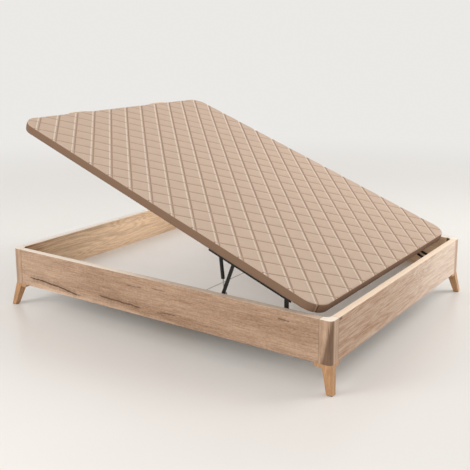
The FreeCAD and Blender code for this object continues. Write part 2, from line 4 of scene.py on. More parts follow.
import bpy
import numpy as np
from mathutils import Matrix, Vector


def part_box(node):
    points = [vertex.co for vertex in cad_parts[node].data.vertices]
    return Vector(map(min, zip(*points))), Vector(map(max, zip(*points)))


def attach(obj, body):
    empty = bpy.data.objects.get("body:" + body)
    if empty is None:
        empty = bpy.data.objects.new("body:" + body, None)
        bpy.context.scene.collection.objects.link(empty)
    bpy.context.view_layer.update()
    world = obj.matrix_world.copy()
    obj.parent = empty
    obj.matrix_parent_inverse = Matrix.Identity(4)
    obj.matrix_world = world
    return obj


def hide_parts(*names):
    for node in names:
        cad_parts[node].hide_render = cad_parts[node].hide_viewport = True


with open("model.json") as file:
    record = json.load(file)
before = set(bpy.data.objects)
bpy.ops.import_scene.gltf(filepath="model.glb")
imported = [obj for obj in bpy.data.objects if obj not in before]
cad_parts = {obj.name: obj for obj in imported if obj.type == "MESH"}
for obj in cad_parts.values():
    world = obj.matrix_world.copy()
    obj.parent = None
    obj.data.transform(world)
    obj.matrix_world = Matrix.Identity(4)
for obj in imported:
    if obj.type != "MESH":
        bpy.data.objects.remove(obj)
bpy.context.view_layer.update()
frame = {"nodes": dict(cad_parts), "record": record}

# Sizes in metres, first of the closed lid, which is then turned open about its pole.
lid_head = 0.9835
lid_foot = -1.0165
lid_length = lid_head - lid_foot
lid_width = 1.600
lid_low = 0.3345
lid_height = 0.050
lid_top = lid_low + lid_height
lid_corner = 0.090
lid_reach_x = lid_length / 2 - lid_corner
lid_reach_y = lid_width / 2 - lid_corner
corner_run = lid_corner * math.pi / 2
seam_run = 4 * lid_reach_x + 4 * lid_reach_y + 3.5 * corner_run
pad_height = 0.016
edge_roll = 0.005

# The quilting, its main slant first.
quilt_pitch = 0.14275
quilt_from_head = 0.018
quilt_from_near = 0.012
channel_depth = 0.0040
channel_reach_before = 0.014
channel_reach_after = 0.011
cross_depth = 0.0034
cross_reach = 0.0110
crown_height = 0.0016
crown_run = 0.018
pucker_height = 0.0005
pucker_run = 0.014
pucker_size = 0.021
drift_height = 0.0004
drift_size = 0.11

# The pull tapes.
strap_span = 0.165
strap_bow = 0.016
strap_height = 0.030
strap_thickness = 0.0025
strap_below_top = 0.0005
strap_spacing = 0.725

# Places on the box, from the frame. A point within the play of a face counts as on it.
side_low, side_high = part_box("side_panel_near")
head_low, head_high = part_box("head_panel")
box_top = side_high[2]
near_face = side_low[1]
face_play = 0.0005
inner_reach = (head_low[0] + face_play, face_play - side_high[1])
joint_place = (side_high[0], head_high[1])
floor_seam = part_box("floor_board_head")[0][0]

# The lift's pole and the angle that it opens by.
lift = next(joint for joint in frame["record"]["behaviour"]["joints"] if joint["name"] == "lid_lift")
pole_x, pole_z = lift["pos_m"][0], lift["pos_m"][2]
open_turn = math.radians(-lift["range_deg"][0])


# Shapes

def opened(points):
    """Closed-lid points turned about the lift's pole, by the right-hand rule about +Y, to the open pose."""
    x = points[..., 0] - pole_x
    z = points[..., 2] - pole_z
    turned_x = pole_x + x * math.cos(open_turn) + z * math.sin(open_turn)
    turned_z = pole_z - x * math.sin(open_turn) + z * math.cos(open_turn)
    return np.stack([turned_x, points[..., 1], turned_z], -1)


def soft_noise(x, y, size, seed):
    """Smooth random values in -1 to 1: random numbers on a square lattice, blended by a smoothstep."""
    cells = 97
    table = np.random.default_rng(seed).uniform(-1, 1, (cells, cells))
    column = np.floor(x / size).astype(int)
    row = np.floor(y / size).astype(int)
    share_x = x / size - column
    share_y = y / size - row
    share_x = share_x ** 2 * (3 - 2 * share_x)
    share_y = share_y ** 2 * (3 - 2 * share_y)
    left = column % cells
    right = (column + 1) % cells
    near = row % cells
    beyond = (row + 1) % cells
    low = table[left, near] * (1 - share_x) + table[right, near] * share_x
    high = table[left, beyond] * (1 - share_x) + table[right, beyond] * share_x
    return low * (1 - share_y) + high * share_y


def mesh_piece(name, points, faces, uv, body):
    """A smooth mesh from points, equal-sided faces and one UV pair for each point; it rides on a body."""
    sides = faces.shape[1]
    mesh = bpy.data.meshes.new(name)
    mesh.vertices.add(len(points))
    mesh.vertices.foreach_set("co", points.astype(np.float32).ravel())
    mesh.loops.add(faces.size)
    mesh.loops.foreach_set("vertex_index", faces.astype(np.int32).ravel())
    mesh.polygons.add(len(faces))
    mesh.polygons.foreach_set("loop_start", np.arange(0, faces.size, sides, dtype=np.int32))
    mesh.polygons.foreach_set("use_smooth", np.ones(len(faces), dtype=bool))
    layer = mesh.uv_layers.new(name="UVMap")
    layer.data.foreach_set("uv", uv[faces.ravel()].astype(np.float32).ravel())
    mesh.update(calc_edges=True)
    mesh.validate()
    piece = bpy.data.objects.new(name, mesh)
    bpy.context.scene.collection.objects.link(piece)
    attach(piece, body)
    return piece


def grid_faces(rows, columns, closed_rows=False, closed_columns=False):
    """Quads of a grid of points, row by row, which may close on itself either way."""
    row = np.arange(rows if closed_rows else rows - 1)
    column = np.arange(columns if closed_columns else columns - 1)
    here, there = np.meshgrid(row, column, indexing="ij")
    below = (here + 1) % rows
    beside = (there + 1) % columns
    corners = [here * columns + there, below * columns + there,
               below * columns + beside, here * columns + beside]
    return np.stack([corner.ravel() for corner in corners], -1)


def end_faces(ring):
    """Quads across a closed ring of points, each joining two points to the two opposite."""
    here = np.arange(len(ring) // 2 - 1)
    return np.stack([ring[here], ring[here + 1], ring[-2 - here], ring[-1 - here]], -1)


def slants(head_distance, near_distance):
    """Distances along the two slants of the quilt: each sewn line is at a whole multiple of the pitch."""
    along = head_distance - quilt_from_head
    across = near_distance - quilt_from_near
    return along - across, along + across


def off_line(slant):
    """Distance square to the nearest sewn line of a slant, negative before the line and positive after it."""
    return ((slant + quilt_pitch / 2) % quilt_pitch - quilt_pitch / 2) / math.sqrt(2)


def lattice_lines(length, start):
    """Distances across the lid: close together on the rolled edges, and on the quilt's own grid between."""
    rolled = np.array([0.0, 0.0002, 0.0007, 0.0016, 0.0029, 0.0045, 0.0075])
    steps_in_pitch = 24
    step = quilt_pitch / steps_in_pitch
    clear = rolled[-1] + 0.6 * step
    first = start + step * math.ceil((clear - start) / step)
    inner = np.arange(first, length - clear, step)
    return np.concatenate([rolled, inner, length - rolled[::-1]])


def lid_plan(head_distance, near_distance):
    """Plan of the rounded lid and each point's distance to its outline.
    In a corner square a point (a, b) of the unit square goes to (a sqrt(1 - b^2/2), b sqrt(1 - a^2/2))."""
    along = lid_length / 2 - head_distance
    across = near_distance - lid_width / 2
    a = np.maximum(np.abs(along) - lid_reach_x, 0) / lid_corner
    b = np.maximum(np.abs(across) - lid_reach_y, 0) / lid_corner
    out_x = lid_corner * a * np.sqrt(1 - b ** 2 / 2)
    out_y = lid_corner * b * np.sqrt(1 - a ** 2 / 2)
    plan_x = np.sign(along) * (np.minimum(np.abs(along), lid_reach_x) + out_x)
    plan_y = np.sign(across) * (np.minimum(np.abs(across), lid_reach_y) + out_y)
    straight = np.minimum(lid_length / 2 - np.abs(plan_x), lid_width / 2 - np.abs(plan_y))
    rounded = lid_corner - np.hypot(out_x, out_y)
    edge = np.where((a > 0) & (b > 0), rounded, straight)
    return plan_x + (lid_head + lid_foot) / 2, plan_y, edge


def quilt_height(head_distance, near_distance):
    """Height of the quilted top above its level. Each sewn line is a channel, deep by the square of the share
    of its reach that is left, and on the main slant wider before the line than after it. Each diamond has
    a low crown of its own height, with fine puckers beside the lines and a slow drift."""
    first, second = slants(head_distance, near_distance)
    off_first = off_line(first)
    off_second = np.abs(off_line(second))
    reach = np.where(off_first < 0, channel_reach_before, channel_reach_after)
    channel_first = channel_depth * np.maximum(0, 1 - np.abs(off_first) / reach) ** 2
    channel_second = cross_depth * np.maximum(0, 1 - off_second / cross_reach) ** 2
    nearest = np.minimum(np.abs(off_first), off_second)
    cells = 61
    fullness = np.random.default_rng(5).uniform(0.5, 1.3, (cells, cells))
    column = np.floor(first / quilt_pitch).astype(int) % cells
    row = np.floor(second / quilt_pitch).astype(int) % cells
    crown = crown_height * fullness[column, row] * (1 - np.exp(-nearest / crown_run))
    ruffled = soft_noise(head_distance, near_distance, pucker_size, 7)
    pucker = pucker_height * np.exp(-nearest / pucker_run) * ruffled
    drift = drift_height * soft_noise(head_distance, near_distance, drift_size, 9)
    return crown + pucker + drift - np.maximum(channel_first, channel_second)


def split_quads(index, height):
    """Two triangles for each quad of a grid of point numbers, which is split along its lower diagonal."""
    here = index[:-1, :-1]
    below = index[1:, :-1]
    opposite = index[1:, 1:]
    beside = index[:-1, 1:]
    valley = (height[here] + height[opposite] < height[below] + height[beside])[..., None]
    one_half = np.where(valley, np.stack([here, beside, opposite], -1), np.stack([here, beside, below], -1))
    other_half = np.where(valley, np.stack([here, opposite, below], -1),
                          np.stack([beside, opposite, below], -1))
    return np.concatenate([one_half.reshape(-1, 3), other_half.reshape(-1, 3)])


def skirt_faces(ring, first):
    """Triangles from a ring of points to the ring under it, whose numbers start at the first, and from there
    to the one point after them, in the middle."""
    low = np.arange(len(ring)) + first
    hub = np.full(len(ring), first + len(ring))
    onward = np.roll(np.arange(len(ring)), -1)
    wall_one = np.stack([ring, low, ring[onward]], -1)
    wall_two = np.stack([ring[onward], low, low[onward]], -1)
    under = np.stack([low, hub, low[onward]], -1)
    return np.concatenate([wall_one, wall_two, under])


def quilted_top():
    """The padded top: a plan grid raised by the quilt's height, rolled down by a quarter circle at the
    outline, with a short skirt and a closed underside."""
    lengths = lattice_lines(lid_length, quilt_from_head)
    widths = lattice_lines(lid_width, quilt_from_near)
    head_distance, near_distance = np.meshgrid(lengths, widths, indexing="ij")
    x, y, edge = lid_plan(head_distance, near_distance)
    inset = np.clip(edge_roll - edge, 0, edge_roll)
    roll = edge_roll - np.sqrt(np.maximum(edge_roll ** 2 - inset ** 2, 0))
    real_head = lid_head - x
    real_near = y + lid_width / 2
    settle_run = 0.012
    edge_share = 0.35
    settle = np.clip(edge / settle_run, 0, 1)
    z = lid_top - roll + quilt_height(real_head, real_near) * (edge_share + (1 - edge_share) * settle)
    index = np.arange(z.size).reshape(z.shape)
    ring = np.concatenate([index[0, :-1], index[:-1, -1], index[-1, :0:-1], index[:0:-1, 0]])
    points = np.stack([x, y, z], -1).reshape(-1, 3)
    skirt = points[ring].copy()
    skirt[:, 2] = lid_top - pad_height
    middle = np.array([[points[:, 0].mean(), 0.0, lid_top - pad_height]])
    every = opened(np.concatenate([points, skirt, middle]))
    uv = np.stack([real_head, real_near], -1).reshape(-1, 2)
    uv = np.concatenate([uv, uv[ring], np.array([[lid_length / 2, lid_width / 2]])])
    faces = np.concatenate([split_quads(index, z.ravel()), skirt_faces(ring, len(points))])
    piece = mesh_piece("quilted_top", every, faces, uv, "lid")
    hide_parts("quilted_pad")
    return piece


def outline_path(step):
    """Points round the lid's rounded outline with their outward directions and the distance run, by
    straight sides and quarter circles, from the near end of the head side."""
    half_sizes = np.array([lid_length / 2, lid_width / 2])
    places = []
    outwards = []
    for side in range(4):
        turn = math.pi / 2 * side
        out = np.round([math.cos(turn), math.sin(turn)])
        onward = np.array([-out[1], out[0]])
        length = 2 * (lid_reach_y if side % 2 == 0 else lid_reach_x)
        start = out * half_sizes - onward * length / 2
        run = np.linspace(0, length, int(length / step), endpoint=False)
        places.append(start + run[:, None] * onward)
        outwards.append(np.repeat(out[None], len(run), 0))
        bend = np.linspace(0, math.pi / 2, int(corner_run / step), endpoint=False)
        direction = np.cos(bend)[:, None] * out + np.sin(bend)[:, None] * onward
        places.append(start + length * onward - lid_corner * out + lid_corner * direction)
        outwards.append(direction)
    place = np.concatenate(places)
    place[:, 0] += (lid_head + lid_foot) / 2
    run = np.concatenate([[0], np.cumsum(np.linalg.norm(np.diff(place, axis=0), axis=1))])
    return place, np.concatenate(outwards), run


def border_band():
    """The fabric side: a bulged profile carried round the outline, pinched where each sewn line ends and at
    a seam on the near head corner, and folded under the lid."""
    outline_step = 0.004
    crease_half = 0.0035
    crease_depth = 0.0009
    seam_half = 0.004
    seam_depth = 0.0022
    wave_height = 0.0004
    wave_size = 0.05
    outer_points = 12
    outer_from = -0.003
    pinch_top = 0.046
    pinch_fade = 0.006
    place, outward, run = outline_path(outline_step)
    height = np.array([0.0452, 0.0456, 0.0448, 0.0425, 0.038, 0.031, 0.024, 0.017, 0.011, 0.006,
                       0.0025, 0.0006, 0.0, 0.0, 0.0012, 0.0035, 0.010, 0.020, 0.032, 0.042])
    out = np.array([-0.0042, -0.0018, -0.0002, 0.0007, 0.0014, 0.0019, 0.0020, 0.0017, 0.0010, 0.0002,
                    -0.0010, -0.0028, -0.006, -0.024, -0.024, -0.006, -0.0035, -0.0030, -0.0030, -0.0048])
    first, second = slants(lid_head - place[:, 0], place[:, 1] + lid_width / 2)
    crease_first = np.exp(-(off_line(first) / crease_half) ** 2)
    crease_second = np.exp(-(off_line(second) / crease_half) ** 2)
    crease = crease_first + 0.7 * crease_second
    seam = np.exp(-((run - seam_run) / seam_half) ** 2)
    shown = (out > outer_from) & (np.arange(len(height)) < outer_points)
    face = np.where(shown, np.clip((pinch_top - height) / pinch_fade, 0, 1), 0)
    wave = wave_height * soft_noise(run, run * 0, wave_size, 21)
    push = out[None] + (wave - crease_depth * crease - seam_depth * seam)[:, None] * face
    points = np.empty((len(run), len(height), 3))
    points[..., 0] = place[:, 0:1] + outward[:, 0:1] * push
    points[..., 1] = place[:, 1:2] + outward[:, 1:2] * push
    points[..., 2] = lid_low + height[None]
    profile_run = np.concatenate([[0], np.cumsum(np.hypot(np.diff(out), np.diff(height)))])
    uv = np.stack(np.broadcast_arrays(run[:, None], profile_run[None]), -1).reshape(-1, 2)
    faces = grid_faces(len(run), len(height), closed_rows=True, closed_columns=True)[:, ::-1]
    piece = mesh_piece("border_band", opened(points).reshape(-1, 3), faces, uv, "lid")
    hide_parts("border_cover")
    return piece


def lining_cloth():
    """The lining stretched under the lid: a plan grid that sags as a half sine between the cross rails."""
    inset = 0.012
    bays = 4
    flat_margin = 0.08
    sag_run = 0.3
    sag_depth = 0.004
    ruffle_height = 0.0005
    ruffle_size = 0.06
    above_low = 0.0006
    lengths = np.linspace(inset, lid_length - inset, 121)
    widths = np.linspace(inset, lid_width - inset, 81)
    head_distance, near_distance = np.meshgrid(lengths, widths, indexing="ij")
    x, y = lid_plan(head_distance, near_distance)[:2]
    sag_along = np.abs(np.sin(math.pi * bays * (lid_head - x) / lid_length))
    sag_across = np.clip((lid_width / 2 - flat_margin - np.abs(y)) / sag_run, 0, 1)
    sag = sag_depth * sag_along * sag_across ** 0.5
    ruffle = ruffle_height * soft_noise(x, y, ruffle_size, 31) * np.clip(sag_across * 3, 0, 1)
    points = np.stack([x, y, lid_low + above_low - sag + ruffle], -1)
    uv = np.stack([head_distance, near_distance], -1).reshape(-1, 2)
    piece = mesh_piece("lining_cloth", opened(points).reshape(-1, 3), grid_faces(*x.shape), uv, "lid")
    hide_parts("underside_cloth")
    return piece


def pull_tape(name, middle, node):
    """A hand loop of tape: a flat rounded section, a superellipse with its own power each way, carried along
    a path that stands off the lid's foot side by the bow times (1 - t^4), where t goes from -1 to 1 over
    the span, with both ends closed."""
    path_points = 61
    section_points = 28
    across_power = 0.6
    upward_power = 0.25
    t = np.linspace(-1, 1, path_points)
    path_x = lid_foot - (strap_bow - strap_thickness / 2) * (1 - t ** 4)
    path_y = middle + strap_span / 2 * t
    step_x = np.gradient(path_x)
    step_y = np.gradient(path_y)
    length = np.hypot(step_x, step_y)
    turn = (np.arange(section_points) + 0.5) * 2 * math.pi / section_points
    across = np.sign(np.cos(turn)) * np.abs(np.cos(turn)) ** across_power * strap_thickness / 2
    upward = np.sign(np.sin(turn)) * np.abs(np.sin(turn)) ** upward_power * strap_height / 2
    points = np.empty((len(t), len(turn), 3))
    points[..., 0] = path_x[:, None] - (step_y / length)[:, None] * across[None]
    points[..., 1] = path_y[:, None] + (step_x / length)[:, None] * across[None]
    points[..., 2] = lid_top - strap_below_top - strap_height / 2 + upward[None]
    uv = np.stack(np.broadcast_arrays(np.cumsum(length)[:, None], upward[None]), -1).reshape(-1, 2)
    tube = grid_faces(len(t), len(turn), closed_columns=True)[:, ::-1]
    ring = np.arange(len(turn))
    ends = [end_faces(ring)[:, ::-1], end_faces(ring + (len(t) - 1) * len(turn))]
    faces = np.concatenate([tube] + ends)
    piece = mesh_piece(name, opened(points).reshape(-1, 3), faces, uv, "lid")
    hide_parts(node)
    return piece


# Material nodes

def new_material(name):
    """An empty node material with its shader."""
    material = bpy.data.materials.new(name)
    material.use_nodes = True
    tree = material.node_tree
    return material, tree, tree.nodes["Principled BSDF"]


def add(tree, kind, values=None, **settings):
    """One node with its settings; each input, by number or name, is linked if a socket and set if a value."""
    node = tree.nodes.new(kind)
    for key, value in settings.items():
        setattr(node, key, value)
    for key, value in (values or {}).items():
        if isinstance(value, bpy.types.NodeSocket):
            tree.links.new(value, node.inputs[key])
        else:
            node.inputs[key].default_value = value
    return node


def math_node(tree, operation, first, second=0.0, clamp=False):
    """The output of one math node."""
    node = add(tree, "ShaderNodeMath", {0: first, 1: second}, operation=operation, use_clamp=clamp)
    return node.outputs[0]


def weighted(tree, *terms):
    """The sum of values, each times its weight."""
    total = None
    for value, weight in terms:
        part = math_node(tree, "MULTIPLY", value, weight)
        total = part if total is None else math_node(tree, "ADD", total, part)
    return total


def blend_colour(tree, share, low, high, beyond=False):
    """A colour between two others, or beyond them where that is asked for and the share leaves 0 to 1."""
    node = add(tree, "ShaderNodeMix", {"Factor": share}, data_type="RGBA", clamp_factor=not beyond)
    for socket, colour in ((node.inputs[6], low), (node.inputs[7], high)):
        if isinstance(colour, bpy.types.NodeSocket):
            tree.links.new(colour, socket)
        else:
            socket.default_value = (*colour, 1)
    return node.outputs[2]


def spread(tree, value, low, high):
    """A value stretched so that low gives 0 and high gives 1, with smooth ends."""
    node = add(tree, "ShaderNodeMapRange", {"Value": value, "From Min": low, "From Max": high},
               interpolation_type="SMOOTHSTEP")
    return node.outputs["Result"]


def fall(tree, value, low, high):
    """A value stretched so that low gives 1 and high gives 0, with smooth ends."""
    return math_node(tree, "SUBTRACT", 1.0, spread(tree, value, low, high))


def noise(tree, vector, scale, detail=3.0, roughness=0.55, distortion=0.0):
    """A noise value."""
    node = add(tree, "ShaderNodeTexNoise", {"Vector": vector, "Scale": scale, "Detail": detail,
                                            "Roughness": roughness, "Distortion": distortion})
    return node.outputs["Fac"]


def drawn_out(tree, vector, scale, detail=3.0, roughness=0.6, distortion=0.0):
    """A noise value with its own scale on each axis."""
    node = add(tree, "ShaderNodeVectorMath", {0: vector, 1: scale}, operation="MULTIPLY")
    return noise(tree, node.outputs[0], 1, detail, roughness, distortion)


def bump(tree, shader, height, strength, distance):
    """A bump on a shader."""
    node = add(tree, "ShaderNodeBump", {"Height": height, "Strength": strength, "Distance": distance})
    tree.links.new(node.outputs[0], shader.inputs["Normal"])


# Wood

oak_tones = ((0.575, 0.396, 0.276), (0.342, 0.210, 0.131))
# Paler tones for the panels' inside faces: painted light inside the box.
inside_lit_tones = ((0.90, 0.68, 0.48), (0.60, 0.405, 0.255))
# Dark tones for the posts' hollows: painted shade in the inner corners.
hollow_shade_tones = ((0.110, 0.062, 0.036), (0.048, 0.027, 0.016))
honey_tones = ((0.56, 0.320, 0.160), (0.37, 0.193, 0.088))
pine_tones = ((0.70, 0.55, 0.37), (0.50, 0.36, 0.21))
head_tones = ((0.575, 0.430, 0.330), (0.345, 0.180, 0.085))
# Pale top edges: partly sanded wood, partly a painted highlight.
oak_edge_and_highlight = (0.97, 0.87, 0.75)
head_edge_and_highlight = (0.95, 0.76, 0.58)


def grain_coordinates(tree, grain, shift):
    """Object coordinates reordered so that the grain runs along the first axis and moved to a fresh place
    in the pattern, and the plain coordinates in parts."""
    place = add(tree, "ShaderNodeTexCoord").outputs["Object"]
    parts = add(tree, "ShaderNodeSeparateXYZ", {0: place}).outputs
    order = {"X": (0, 1, 2), "Y": (1, 0, 2), "Z": (2, 0, 1)}[grain]
    joined = add(tree, "ShaderNodeCombineXYZ", {0: parts[order[0]], 1: parts[order[1]], 2: parts[order[2]]})
    start = (shift, 0.7 * shift, 0.3 * shift)
    moved = add(tree, "ShaderNodeVectorMath", {0: joined.outputs[0], 1: start}, operation="ADD")
    return moved.outputs[0], parts


def joint_lines(tree, parts, axes):
    """1 on the hairline between a post and a panel, where the distance from the middle equals the joint's."""
    total = None
    for axis in axes:
        away = math_node(tree, "SUBTRACT", math_node(tree, "ABSOLUTE", parts[axis]), joint_place[axis])
        line = fall(tree, math_node(tree, "ABSOLUTE", away), 0.0006, 0.0022)
        total = line if total is None else math_node(tree, "MAXIMUM", total, line)
    return total


def inner_faces(tree, parts):
    """1 on the faces inside the box and 0 on the others."""
    along = math_node(tree, "LESS_THAN", math_node(tree, "ABSOLUTE", parts[0]), inner_reach[0])
    across = math_node(tree, "LESS_THAN", math_node(tree, "ABSOLUTE", parts[1]), inner_reach[1])
    return math_node(tree, "MULTIPLY", along, across)


def oak(name, grain, tones, rings=0.16, streaks=16.0, figure=None, tone=None, stain=None, joints=(),
        inner=inside_lit_tones, edge=oak_edge_and_highlight, lid_shade=None, grainy=0.1, roughness=0.46, shift=0.0):
    """Oak: fibres, flecks, specks, long streaks, growth lines, short dark pores and cloudy tone, drawn out
    along the grain. figure adds to the field that the growth lines follow, tone adds to the darkness, and
    stain darkens where it is 1. Panels and posts, which have joints, get the inner tones on their inside,
    painted light on the panels and painted shade in the posts' hollows, and a pale sanded edge that is
    partly a painted highlight; a painted shade of the lid, if given, makes the edge less pale where it is 1."""
    pale, dark = tones
    deep = tuple(0.36 * part for part in dark)
    material, tree, shader = new_material(name)
    vector, parts = grain_coordinates(tree, grain, shift)
    fibre = drawn_out(tree, vector, (6, 420, 420), 4)
    fleck = drawn_out(tree, vector, (13, 180, 180), 3, 0.65)
    streak = drawn_out(tree, vector, (2.4, 95, 95), 3)
    speck = drawn_out(tree, vector, (70, 130, 130), 3)
    cloud = drawn_out(tree, vector, (1.1, streaks, streaks), 3)
    field = drawn_out(tree, vector, (0.55, 9, 9), 3, 0.5, 0.3)
    if figure:
        field = math_node(tree, "ADD", field, figure(tree, parts))
    lines = spread(tree, math_node(tree, "SINE", math_node(tree, "MULTIPLY", field, 120.0)), -0.9, 1.0)
    pores = spread(tree, drawn_out(tree, vector, (28, 850, 850), 2, 0.5), 0.60, 0.74)
    share = weighted(tree, (spread(tree, fleck, 0.33, 0.67), 0.46), (spread(tree, fibre, 0.3, 0.7), 0.26),
                     (spread(tree, streak, 0.34, 0.66), 0.36 - grainy), (lines, rings),
                     (spread(tree, speck, 0.34, 0.66), 1.4 * grainy), (spread(tree, cloud, 0.28, 0.72), 0.50))
    share = math_node(tree, "SUBTRACT", share, 0.33 + 0.2 * grainy + rings / 2, True)
    if tone:
        share = math_node(tree, "ADD", share, tone(tree, parts))
    colour = blend_colour(tree, share, pale, dark, True)
    colour = blend_colour(tree, math_node(tree, "MULTIPLY", pores, 0.35), colour, deep)
    if stain:
        stained = (0.27 * dark[0], 0.19 * dark[1], 0.12 * dark[2])
        colour = blend_colour(tree, stain(tree, parts, fibre), colour, stained)
    if joints:
        # Inside faces: paler tones as painted light on the panels, dark tones as painted shade in the posts'
        # hollows.
        inside = blend_colour(tree, share, *inner, True)
        colour = blend_colour(tree, inner_faces(tree, parts), colour, inside)
        # The pale top edge: partly sanded wood, partly a painted highlight, dimmed where given by painted
        # shade of the lid.
        sanded_and_lit = math_node(tree, "MULTIPLY", spread(tree, parts[2], box_top - 0.0022, box_top - 0.0004), 0.82)
        if lid_shade:
            shade_share = math_node(tree, "MULTIPLY", lid_shade(tree, parts), 0.65)
            sanded_and_lit = math_node(tree, "MULTIPLY", sanded_and_lit, math_node(tree, "SUBTRACT", 1.0, shade_share))
        colour = blend_colour(tree, sanded_and_lit, colour, edge)
        hairline = math_node(tree, "MULTIPLY", joint_lines(tree, parts, joints), 0.6)
        colour = blend_colour(tree, hairline, colour, deep)
    tree.links.new(colour, shader.inputs["Base Color"])
    rough = math_node(tree, "ADD", math_node(tree, "MULTIPLY", fibre, 0.16), roughness - 0.08)
    tree.links.new(rough, shader.inputs["Roughness"])
    height = math_node(tree, "SUBTRACT", math_node(tree, "MULTIPLY", fibre, 0.5), pores)
    bump(tree, shader, height, 0.25, 0.0006)
    shader.inputs["Specular IOR Level"].default_value = 0.45
    return material


def crack(tree, parts, start, end, bulge, width, seed):
    """1 on a thin wandering line on the near face between two (x, z) places, bowed up by the bulge and
    thinning at its ends, and less than 1 on a soft brown margin beside it."""
    x, y, z = parts
    share = math_node(tree, "DIVIDE", math_node(tree, "SUBTRACT", x, start[0]), end[0] - start[0])
    body = math_node(tree, "MULTIPLY", share, math_node(tree, "SUBTRACT", 1.0, share))
    track = add(tree, "ShaderNodeCombineXYZ", {0: x, 1: seed}).outputs[0]
    wander = math_node(tree, "SUBTRACT", noise(tree, track, 16, 4, 0.6), 0.5)
    middle = weighted(tree, (share, end[1] - start[1]), (body, 4 * bulge), (wander, 0.018))
    middle = math_node(tree, "ADD", middle, start[1])
    away = math_node(tree, "ABSOLUTE", math_node(tree, "SUBTRACT", z, middle))
    reach = math_node(tree, "MULTIPLY", spread(tree, body, 0.0, 0.12), width)
    reach = math_node(tree, "MULTIPLY", reach, spread(tree, noise(tree, track, 40, 2, 0.6), 0.12, 0.62))
    open_line = spread(tree, math_node(tree, "SUBTRACT", reach, away), -0.0004, 0.0006)
    margin = spread(tree, weighted(tree, (reach, 5.0), (away, -1.0)), -0.004, 0.010)
    marks = math_node(tree, "MAXIMUM", open_line, math_node(tree, "MULTIPLY", margin, 0.26))
    outside = math_node(tree, "LESS_THAN", y, near_face + face_play)
    return math_node(tree, "MULTIPLY", marks, outside)


def near_cracks(tree, parts, fibre):
    """The open cracks and short checks of the near long panel."""
    places = (((-0.905, 0.180), (-0.480, 0.146), 0.008, 0.0052, 1.7),
              ((-0.370, 0.181), (-0.050, 0.170), 0.0, 0.0038, 4.1),
              ((-0.165, 0.274), (-0.050, 0.279), 0.0, 0.0017, 7.3),
              ((0.005, 0.291), (0.105, 0.288), 0.0, 0.0012, 9.9),
              ((0.040, 0.170), (0.170, 0.177), 0.002, 0.0022, 12.2),
              ((0.745, 0.293), (0.810, 0.290), 0.0, 0.0022, 15.6))
    total = crack(tree, parts, *places[0])
    for place in places[1:]:
        total = math_node(tree, "MAXIMUM", total, crack(tree, parts, *place))
    return math_node(tree, "MULTIPLY", total, 0.95)


def near_tone(tree, parts):
    """Tone of the near long panel: darkest in the middle, with a pale strip along its low edge."""
    x = parts[0]
    z = parts[2]
    darker = weighted(tree, (spread(tree, x, -0.85, -0.25), 0.33), (spread(tree, x, 0.2, 0.7), -0.10))
    strip = fall(tree, weighted(tree, (z, 1.0), (x, 0.010)), 0.132, 0.152)
    strip = math_node(tree, "MULTIPLY", strip, spread(tree, x, -0.95, -0.75))
    strip = math_node(tree, "MULTIPLY", strip, fall(tree, x, 0.0, 0.35))
    return weighted(tree, (darker, 1.0), (strip, -0.55))


def near_lid_shade(tree, parts):
    """1 on the near long panel's top edge under the head end of the lid, where the pale edge gets painted
    shade of the lid.
    """
    return spread(tree, parts[0], -0.35, 0.15)


def head_tone_and_glare(tree, parts):
    """Tone of the head panel: a little darker at its near end, and paler towards its far end, which is
    painted light and glare.
    """
    return weighted(tree, (fall(tree, parts[1], -0.7, 0.3), 0.13), (spread(tree, parts[1], -0.6, 0.8), -0.80))


def foot_tone_and_shade(tree, parts):
    """Tone of the foot panel: darker towards its near end, most at the end itself and along its upper
    edge, partly darker wood and partly painted shade of the lid and the corner."""
    near_end = fall(tree, parts[1], -0.75, -0.25)
    last = fall(tree, parts[1], -0.78, -0.56)
    upper = math_node(tree, "MULTIPLY", spread(tree, parts[2], 0.316, 0.331), fall(tree, parts[1], -0.8, 0.2))
    return weighted(tree, (near_end, 0.45), (last, 0.60), (upper, 0.60))


def near_post_stain(tree, parts, fibre):
    """A dark wedge of heartwood on the near head post, narrow at the top and wide at the foot."""
    x, y, z = parts
    below = math_node(tree, "SUBTRACT", box_top, z)
    ragged = math_node(tree, "SUBTRACT", fibre, 0.5)
    past_edge = math_node(tree, "SUBTRACT", weighted(tree, (x, 1.0), (below, 0.22), (ragged, -0.05)), 1.012)
    left = spread(tree, past_edge, -0.004, 0.008)
    mask = math_node(tree, "MULTIPLY", left, fall(tree, y, -0.812, -0.800))
    strength = math_node(tree, "ADD", math_node(tree, "MULTIPLY", fibre, 0.7), 0.40)
    return math_node(tree, "MULTIPLY", mask, strength)


def foot_post_dark_side(tree, parts, fibre):
    """Darker on the rounded side of the near foot post."""
    ragged = math_node(tree, "SUBTRACT", fibre, 0.5)
    mask = fall(tree, weighted(tree, (parts[0], 1.0), (ragged, 0.02)), -0.984, -0.974)
    strength = math_node(tree, "ADD", math_node(tree, "MULTIPLY", fibre, 0.4), 0.02)
    return math_node(tree, "MULTIPLY", mask, strength)


def round_hill(tree, parts, middle_y, middle_z, reach_y, reach_z):
    """A smooth hill, 1 at its middle, on an end panel: e to the minus square of the scaled distance."""
    across = math_node(tree, "DIVIDE", math_node(tree, "SUBTRACT", parts[1], middle_y), reach_y)
    upward = math_node(tree, "DIVIDE", math_node(tree, "SUBTRACT", parts[2], middle_z), reach_z)
    across = math_node(tree, "MULTIPLY", across, across)
    upward = math_node(tree, "MULTIPLY", upward, upward)
    return math_node(tree, "EXPONENT", weighted(tree, (across, -1.0), (upward, -1.0)))


def head_figure(tree, parts):
    """Hills in the growth field of the head panel, so that its growth lines go round them as round knots."""
    return weighted(tree, (round_hill(tree, parts, 0.10, 0.28, 0.14, 0.045), 0.17),
                    (round_hill(tree, parts, -0.45, 0.20, 0.22, 0.07), -0.10))


